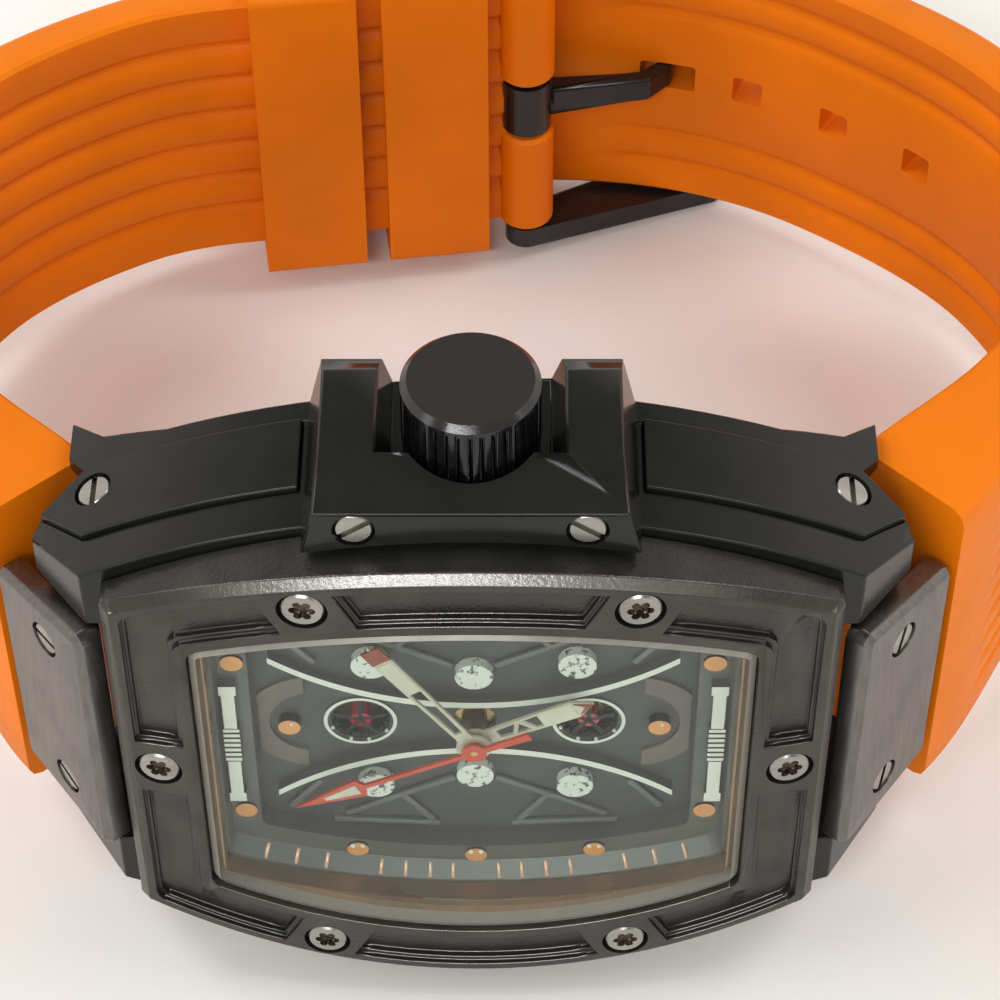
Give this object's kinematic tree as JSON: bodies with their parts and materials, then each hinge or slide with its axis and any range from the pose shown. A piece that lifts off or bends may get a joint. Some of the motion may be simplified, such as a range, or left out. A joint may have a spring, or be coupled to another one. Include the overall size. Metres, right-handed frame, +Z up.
{
  "type": "tonneau watch",
  "caption": "Barrel-shaped wristwatch with a screwed bezel, open-worked dial, crown guard and a buckled rubber strap, lying on its side.",
  "frame": {"origin": "centre of the bounding box at the resting plane, below the wrist opening", "axes": "+X from the twelve to the six o'clock end, +Y from the dial to the buckle at the back, +Z up, the way the crown points as the watch lies on its nine o'clock side"},
  "size_m": [0.0804, 0.0718, 0.0461],
  "materials": {
    "bezel_black": "matte black coated steel",
    "case_black": "polished black coated steel",
    "plate_steel": "brushed gunmetal steel",
    "screw_steel": "bright brushed steel",
    "crystal": "clear mineral glass",
    "black_rubber": "seal rubber",
    "orange_rubber": "orange moulded rubber",
    "buckle_grey": "dark grey coated steel",
    "dial_dark": "matt dark dial paint",
    "rehaut": "satin warm grey ring",
    "dial_white": "off-white enamel",
    "dial_grey": "grey-brown paint",
    "jewel_red": "red glass-like setting",
    "marker_copper": "copper coloured dots",
    "hand_cream": "cream enamel",
    "hand_red": "red enamel",
    "brass": "turned brass",
    "white_plastic": "moulded white plastic",
    "magnet": "bonded magnet",
    "battery_steel": "nickelled steel can",
    "copper_wire": "enamelled copper winding",
    "soft_iron": "punched soft iron",
    "board_green": "circuit laminate",
    "steel": "turned steel"
  },
  "bodies": {
    "watch": {"bezel": "bezel_black", "bezel_screws": "screw_steel", "crystal": "crystal", "crystal_gasket": "black_rubber", "bezel_gasket": "black_rubber", "case_middle": "case_black", "case_back": "case_black", "case_back_gasket": "black_rubber", "case_back_screws": "screw_steel", "side_plate_upper_12": "case_black", "side_plate_upper_6": "case_black", "side_plate_lower": "case_black", "side_plate_screws": "screw_steel", "crown_guard": "case_black", "crown_guard_screws": "screw_steel", "end_plate_12": "plate_steel", "end_plate_6": "plate_steel", "end_plate_screws": "screw_steel", "crown_tube": "steel", "chapter_ring": "rehaut", "dial_plate": "dial_dark", "dial_arcs": "dial_white", "dial_rings": "dial_white", "dial_jewels": "jewel_red", "dial_discs": "dial_white", "dial_struts": "dial_white", "dial_crescents": "dial_grey", "hour_markers": "marker_copper", "movement_holder": "white_plastic", "main_plate": "brass", "train_bridge": "brass", "battery": "battery_steel", "battery_clamp": "steel", "motor_coil": "copper_wire", "motor_stator": "soft_iron", "circuit_board": "board_green", "strap_12": "orange_rubber", "strap_6": "orange_rubber", "strap_bar_12": "steel", "strap_bar_6": "steel", "keeper_fixed": "orange_rubber", "buckle_bar": "buckle_grey"},
    "seconds": {"seconds_wheel": "brass", "seconds_hand": "hand_red"},
    "minutes": {"centre_wheel": "brass", "minute_hand": "hand_cream"},
    "hours": {"hour_wheel": "brass", "hour_hand": "hand_cream"},
    "third": {"third_wheel": "brass"},
    "idler": {"intermediate_wheel": "white_plastic"},
    "rotor": {"motor_rotor": "magnet"},
    "minute_work": {"minute_work_wheel": "brass"},
    "crown_slide": {"crown_gasket": "black_rubber"},
    "crown_knob": {"crown": "case_black", "setting_stem": "steel"},
    "free_keeper": {"keeper_free": "orange_rubber"},
    "buckle": {"buckle_frame": "buckle_grey"},
    "tongue": {"buckle_tongue": "buckle_grey"}
  },
  "joints": [
    {"name": "seconds_spin", "type": "hinge", "parent": "watch", "child": "seconds", "pos_m": [-0.0004, -0.02632, 0.02004], "axis": [0, 0.9931, -0.1173], "continuous": true},
    {"name": "minute_spin", "type": "hinge", "parent": "watch", "child": "minutes", "pos_m": [-0.0004, -0.02632, 0.02004], "axis": [0, 0.9931, -0.1173], "continuous": true},
    {"name": "hour_spin", "type": "hinge", "parent": "watch", "child": "hours", "pos_m": [-0.0004, -0.02781, 0.02022], "axis": [0, 0.9931, -0.1173], "continuous": true},
    {"name": "third_spin", "type": "hinge", "parent": "watch", "child": "third", "pos_m": [-0.00312, -0.02547, 0.01867], "axis": [0, 0.9931, -0.1173], "continuous": true},
    {"name": "idler_spin", "type": "hinge", "parent": "watch", "child": "idler", "pos_m": [0.00238, -0.02555, 0.01799], "axis": [0, 0.9931, -0.1173], "continuous": true},
    {"name": "rotor_spin", "type": "hinge", "parent": "watch", "child": "rotor", "pos_m": [0.00307, -0.02585, 0.01546], "axis": [0, 0.9931, -0.1173], "continuous": true},
    {"name": "minute_work_spin", "type": "hinge", "parent": "watch", "child": "minute_work", "pos_m": [0.00105, -0.02731, 0.02269], "axis": [0, 0.9931, -0.1173], "continuous": true},
    {"name": "crown_pull", "type": "slide", "parent": "watch", "child": "crown_slide", "axis": [0, 0.1173, 0.9931], "range_m": [0, 0.0009]},
    {"name": "crown_turn", "type": "hinge", "parent": "crown_slide", "child": "crown_knob", "pos_m": [-0.0004, -0.02314, 0.04182], "axis": [0, 0.1173, 0.9931], "continuous": true},
    {"name": "keeper_slide", "type": "slide", "parent": "watch", "child": "free_keeper", "axis": [0.9903, 0.1382, -0.0163], "range_m": [-0.002, 0.001]},
    {"name": "buckle_pivot", "type": "hinge", "parent": "watch", "child": "buckle", "pos_m": [0.0028, 0.02642, 0.01381], "axis": [0, 0.1173, 0.9931], "range_deg": [-1, 1]},
    {"name": "tongue_pivot", "type": "hinge", "parent": "watch", "child": "tongue", "pos_m": [0.0028, 0.02642, 0.01381], "axis": [0, 0.1173, 0.9931], "range_deg": [-1, 1]}
  ],
  "couplings": [
    {"joint": "minute_spin", "follows": "seconds_spin", "ratio": 0.016667},
    {"joint": "hour_spin", "follows": "seconds_spin", "ratio": 0.0013889},
    {"joint": "third_spin", "follows": "seconds_spin", "ratio": -0.13333},
    {"joint": "minute_work_spin", "follows": "seconds_spin", "ratio": -0.0055556},
    {"joint": "idler_spin", "follows": "seconds_spin", "ratio": -3},
    {"joint": "rotor_spin", "follows": "seconds_spin", "ratio": 30}
  ]
}
